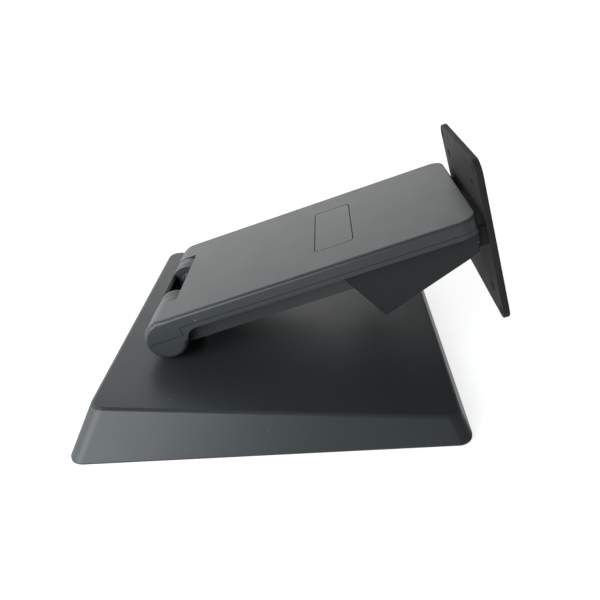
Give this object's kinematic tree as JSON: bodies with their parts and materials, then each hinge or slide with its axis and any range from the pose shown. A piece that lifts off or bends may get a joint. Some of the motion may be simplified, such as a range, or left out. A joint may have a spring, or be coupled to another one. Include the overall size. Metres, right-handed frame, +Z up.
{
  "type": "folding terminal stand",
  "caption": "Counter stand for a terminal screen: wedge base, hinged flat arm with a cable hatch, slanted hinge box and a tilting square screw plate.",
  "frame": {"origin": "on the surface the stand rests on, below the centre of its bounding box", "axes": "-Y is the front, where the screen plate is; +Y the rear, where the arm's hinge is; +X sideways; +Z up; mirror-symmetric about X = 0"},
  "size_m": [0.258, 0.2812, 0.1521],
  "materials": {
    "moulded_body": "fine spark-textured charcoal ABS",
    "moulded_panel": "fine spark-textured charcoal ABS, snap-in panel",
    "coated_steel": "black powder coat, fine orange peel",
    "zinc_steel": "bright zinc plate",
    "black_screws": "black oxide",
    "rubber": "matt moulded rubber"
  },
  "bodies": {
    "base": {"base_cover": "moulded_body", "base_plate": "coated_steel", "weight_plate": "coated_steel", "rubber_feet": "rubber", "base_screws": "zinc_steel", "hinge_post_right": "moulded_body", "hinge_post_left": "moulded_body", "hinge_guard": "moulded_body", "post_bolts": "zinc_steel", "hinge_shafts": "zinc_steel", "hinge_washers": "zinc_steel", "hinge_springs": "black_screws", "hinge_nuts": "zinc_steel"},
    "arm": {"arm_top_cover": "moulded_body", "arm_bottom_cover": "moulded_body", "cable_hatch": "moulded_panel", "side_plate_right": "coated_steel", "side_plate_left": "coated_steel", "cross_bars": "coated_steel", "frame_screws": "zinc_steel", "arm_screws": "black_screws", "tilt_housing": "moulded_body", "housing_screws": "black_screws"},
    "head": {"mounting_plate": "coated_steel", "tilt_ear_right": "coated_steel", "tilt_ear_left": "coated_steel", "plate_screws": "zinc_steel", "tilt_shafts": "zinc_steel", "tilt_washers": "zinc_steel", "tilt_springs": "black_screws", "tilt_nuts": "zinc_steel"}
  },
  "joints": [
    {"name": "arm_fold", "type": "hinge", "parent": "base", "child": "arm", "pos_m": [0, 0.08871, 0.0447], "axis": [-1, 0, 0], "range_deg": [-5, 60]},
    {"name": "plate_tilt", "type": "hinge", "parent": "arm", "child": "head", "pos_m": [0, -0.10784, 0.10055], "axis": [1, 0, 0], "range_deg": [-5, 65]}
  ]
}
